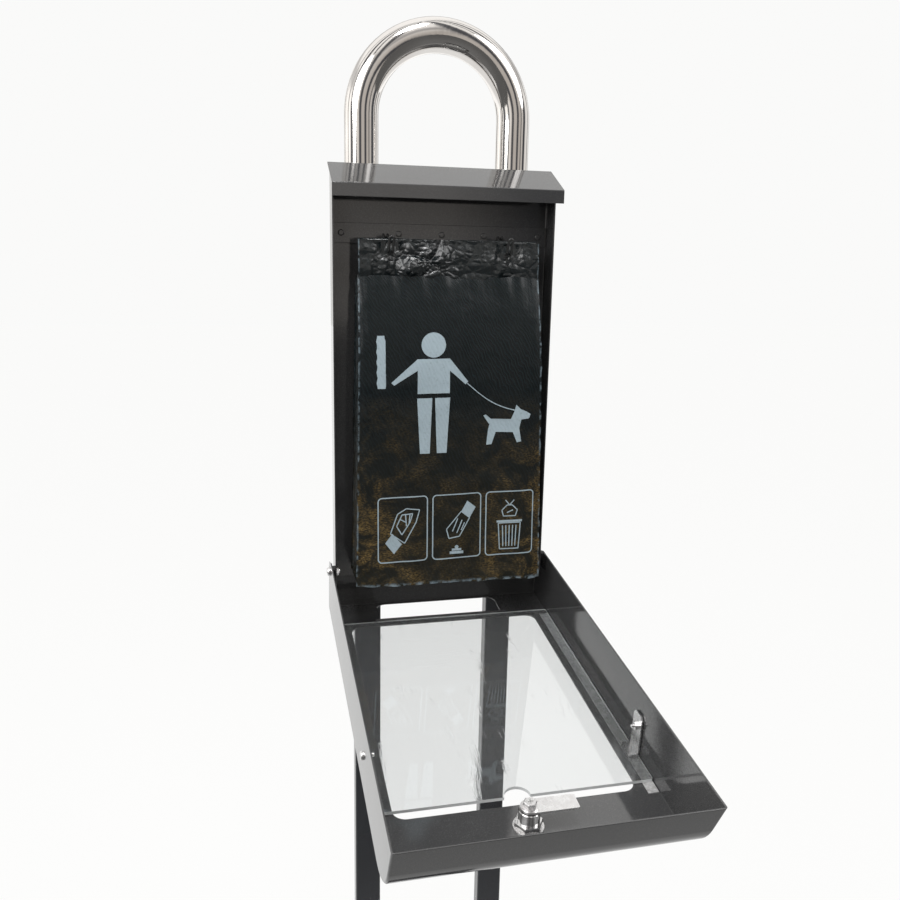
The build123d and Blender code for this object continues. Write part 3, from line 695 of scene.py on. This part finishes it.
def crumpled_header(film):
    """The gathered film over the top of the pack, crushed between the hooks and drawn into folds at them."""
    low = BAG_TOP - 0.004
    high = header_high.z - 0.001
    half = (header_high.x - header_low.x) / 2 + 0.003
    hooks = hook_places()

    def point(u, v):
        x = PACK_MIDDLE + (2 * u - 1) * half
        z = low + (high - low) * v
        near = min(abs(x - hook) for hook in hooks)
        pull = math.exp(-(near / HOOK_REACH) ** 2)
        share = (x - hooks[0]) / (hooks[1] - hooks[0])
        between = 0.3 + 0.9 * math.exp(-((share - 0.3) / 0.26) ** 2)
        swept = math.sin(near * 420 + v * 5.0) * math.exp(-near / 0.022) * 0.0011
        body = math.sin(math.pi * min(1.0, 0.12 + v * 0.95))
        crush = crumple(x, z, 38, 2.0) * CRUSH + crumple(x, z, 120, 6.0) * FINE_CRUSH
        proud = (crush * between + HEADER_GAP) * (0.4 + 0.6 * body)
        y = header_low.y - HEADER_GAP - proud + HOOK_PULL * pull + swept
        z += ripple(x * 55, 1.0, 6.0) * 0.003 * v ** 3 - 0.004 * pull * v
        return (x, y, z)
    piece = grid_object("header_film", 300, 70, point, film)
    return piece


def header_block(film):
    """The stapled bundle behind the header film, with its punched holes left open."""
    mesh = nodes["bag_header"].data.copy()
    mesh.name = "header_bundle"
    bm = bmesh.new()
    bm.from_mesh(mesh)
    bmesh.ops.remove_doubles(bm, verts=bm.verts, dist=1e-6)
    long_edges = [e for e in bm.edges if e.calc_length() > 0.02]
    bmesh.ops.subdivide_edges(bm, edges=long_edges, cuts=6, use_grid_fill=True)
    for vert in bm.verts:
        vert.co.y += noise.noise(vert.co * 60) * 0.0012
        vert.co.z += noise.noise(vert.co * 45 + Vector((0, 0, 5))) * 0.0014
    bm.to_mesh(mesh)
    bm.free()
    return add_piece("header_bundle", mesh, film)


# Printed pictograms: a walker with a dog, and three framed steps. All are of our own plain design.
# Their points are in millimetres, across from the cabinet's middle and up from the door hinge, and a step's
# own points are from the middle of its frame.

PRINT_LIFT = 0.0005
PRINT_SLANT = 0.02
PRINT_EDGE = 0.006
LEAD_LINE = 1.0
STEP_PLACES = (-53, 9, 71)
STEP_HEIGHT = 66
STEP_SIZE = (57, 76)
STEP_CORNER = 5.0
STEP_FRAME_LINE = 1.3
STEP_LINE = 1.2


def disc(cx, cz, radius, steps=28):
    turns = [2 * math.pi * i / steps for i in range(steps)]
    return [(cx + radius * math.cos(t), cz + radius * math.sin(t)) for t in turns]


def stroke(points, width=STEP_LINE):
    """A band of one width along a run of points, as one outline."""
    left, right = [], []
    for i, (x, z) in enumerate(points):
        x0, z0 = points[max(0, i - 1)]
        x1, z1 = points[min(len(points) - 1, i + 1)]
        length = math.hypot(x1 - x0, z1 - z0)
        nx, nz = -(z1 - z0) / length * width / 2, (x1 - x0) / length * width / 2
        left.append((x + nx, z + nz))
        right.append((x - nx, z - nz))
    return left + right[::-1]


def strokes(*runs):
    return [stroke(run) for run in runs]


def outline(points):
    """Separate strokes round a closed run of points."""
    return strokes(*zip(points, points[1:] + points[:1]))


def rounded_frame(cx, cz, width, height, radius, steps=6):
    points = []
    for qx, qz, start in ((1, 1, 0), (-1, 1, 90), (-1, -1, 180), (1, -1, 270)):
        for i in range(steps + 1):
            t = math.radians(start + 90 * i / steps)
            points.append((cx + qx * (width / 2 - radius) + radius * math.cos(t),
                           cz + qz * (height / 2 - radius) + radius * math.sin(t)))
    return points


def frame_bands(cx, cz, width, height, line):
    """A rounded frame as a ring of four-sided bands."""
    outer = rounded_frame(cx, cz, width, height, STEP_CORNER)
    inner = rounded_frame(cx, cz, width - 2 * line, height - 2 * line, STEP_CORNER - line)
    count = len(outer)
    return [[outer[i], outer[(i + 1) % count], inner[(i + 1) % count], inner[i]] for i in range(count)]


def curve_between(a, b, sag, steps=14):
    points = []
    for i in range(steps + 1):
        t = i / steps
        points.append((a[0] + (b[0] - a[0]) * t, a[1] + (b[1] - a[1]) * t - sag * math.sin(math.pi * t)))
    return points


def moved(shapes, dx, dz):
    return [[(x + dx, z + dz) for x, z in shape] for shape in shapes]


def walker():
    """A plain standing figure with both arms out, made of simple blocks."""
    body = [(-37, 257), (-1, 257), (-3, 244), (-1, 219), (-37, 219), (-35, 244)]
    left_leg = [(-37.5, 214), (-20.5, 214), (-23, 152), (-34, 152)]
    right_leg = [(-17.5, 214), (-0.5, 214), (-4, 152), (-15, 152)]
    left_arm = [(-37, 257), (-34.5, 246), (-63, 229), (-66, 232)]
    right_arm = [(-1, 257), (-3.5, 246), (17, 228), (20, 231)]
    return [disc(-19, 272, 13.6), body, left_leg, right_leg, left_arm, right_arm]


def small_dog():
    """A short-legged dog, seen from its side."""
    body = [(47, 188), (70, 187), (74, 196), (76, 203), (81, 198), (88, 195), (93, 192), (91, 187), (82, 186),
            (80, 176), (72, 172), (50, 173), (44, 177)]
    tail = [(38, 192), (41, 193), (48, 187), (45, 182)]
    front_leg = [(72, 173), (80, 176), (82.5, 161), (77.5, 160)]
    hind_leg = [(44, 178), (53, 174), (48, 159), (42, 158.5)]
    return [body, tail, front_leg, hind_leg]


def lead():
    return [stroke(curve_between((19, 229), (78, 196), 6), LEAD_LINE)]


def held_bag():
    """A bag held out to the side, with a wavy edge."""
    right = [(-72.5 + 0.7 * math.sin(i * 1.6), 226 + i * 3) for i in range(20)]
    left = [(-81.5 + 0.6 * math.sin(i * 1.7 + 1), 226 + i * 3) for i in range(20)]
    return [right + left[::-1]]


def hand_step():
    """A bag turned over the hand."""
    bag = outline([(-14, -4), (-6, 18), (4, 24), (19, 22), (15, 8), (2, -16)])
    hand = outline([(-7, 4), (-1, 17), (11, 18), (8, 8), (-1, -6)])
    fingers = strokes([(3, 17), (4, 4)], [(8, 17), (7, 7)], [(-3, 12), (4, 8)])
    cuff = [(-20, -15), (-12, -4), (-1, -17), (-10, -28)]
    return bag + hand + fingers + [cuff]


def pick_up_step():
    """A hand that reaches down to a small heap."""
    hand = outline([(5, 17), (-12, -3), (-9, -14), (3, -12), (15, 9)])
    fingers = strokes([(1, 9), (-5, -6)], [(6, 7), (0, -8)], [(9, 4), (5, -5)])
    cuff = [(5, 17), (12, 29), (22, 21), (15, 9)]
    heap = [stroke([(-8, -31), (8, -31)], 3.2), stroke([(-5.5, -27.5), (5.5, -27.5)], 2.6)]
    return hand + fingers + [cuff] + heap + [disc(0, -24.5, 2.2, 14)]


def bin_step():
    """A tied bag that drops into a bin."""
    sides = outline([(-13, 0), (-11, -31), (11, -31), (13, 0)])
    rim = [stroke([(-15, 2), (15, 2)], 2.4)]
    slats = strokes(*[[(-8 + i * 4, -3), (-7 + i * 3.5, -28)] for i in range(5)])
    bag = outline([(-7, 8), (7, 8), (9, 15), (3, 21), (-3, 21), (-9, 15)])
    knot = strokes([(0, 21), (-5, 27)], [(0, 21), (5, 27)], [(-3, 12), (4, 15)])
    return sides + rim + slats + bag + knot


def step_icons():
    icons = []
    for cx, marks in zip(STEP_PLACES, (hand_step(), pick_up_step(), bin_step())):
        icons += frame_bands(cx, STEP_HEIGHT, *STEP_SIZE, STEP_FRAME_LINE)
        icons += moved(marks, cx, STEP_HEIGHT)
    return icons


def flat_marks(shapes):
    """The shapes as triangles in one upright plane, with no edge much over PRINT_EDGE."""
    bm = bmesh.new()
    for shape in shapes:
        bm.faces.new([bm.verts.new((x * MM, 0, hinge.z + (z + PRINT_SLANT * x) * MM)) for x, z in shape])
    bmesh.ops.triangulate(bm, faces=bm.faces)
    for _ in range(6):
        long_edges = [e for e in bm.edges if e.calc_length() > PRINT_EDGE]
        if not long_edges:
            break
        bmesh.ops.subdivide_edges(bm, edges=long_edges, cuts=1)
        bmesh.ops.triangulate(bm, faces=bm.faces)
    return bm


def printed_marks(film_piece, material):
    """The pictograms as thin flat pieces laid on the front bag."""
    skin = BVHTree.FromObject(film_piece, bpy.context.evaluated_depsgraph_get())
    bm = flat_marks(walker() + held_bag() + small_dog() + lead() + step_icons())
    for vert in bm.verts:
        hit = skin.ray_cast(Vector((vert.co.x, -0.3, vert.co.z)), Vector((0, 1, 0)))
        vert.co.y = (hit[0].y if hit[0] else bag_front(vert.co.x, vert.co.z)) - PRINT_LIFT
    for face in bm.faces:
        face.normal_update()
        if face.normal.y > 0:
            face.normal_flip()
    mesh = bpy.data.meshes.new("bag_print")
    bm.to_mesh(mesh)
    bm.free()
    return add_piece("bag_print", mesh, material)


def make_bags():
    crushed = bag_film("header_film", glint_strength=0.0, rough=0.05, gloss=0.9, pebble=0.03 * MM)
    front = front_bag(bag_film())
    marks = printed_marks(front, bag_print())
    layers = bag_layers(bag_film("layer_film", glint_strength=0.25, rim=0.12))
    gathered = crumpled_header(crushed)
    bundle = header_block(crushed)
    for piece in (front, marks, layers, gathered, bundle):
        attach(piece, "stand")
    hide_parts("bag_stack")
    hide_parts("bag_header")
    for piece in (front, marks, layers, gathered, bundle):
        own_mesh(piece)


make_camera()
make_world()
make_floor()
for lamp in LAMPS:
    make_area_light(*lamp)
dress_cad_nodes()
make_bags()
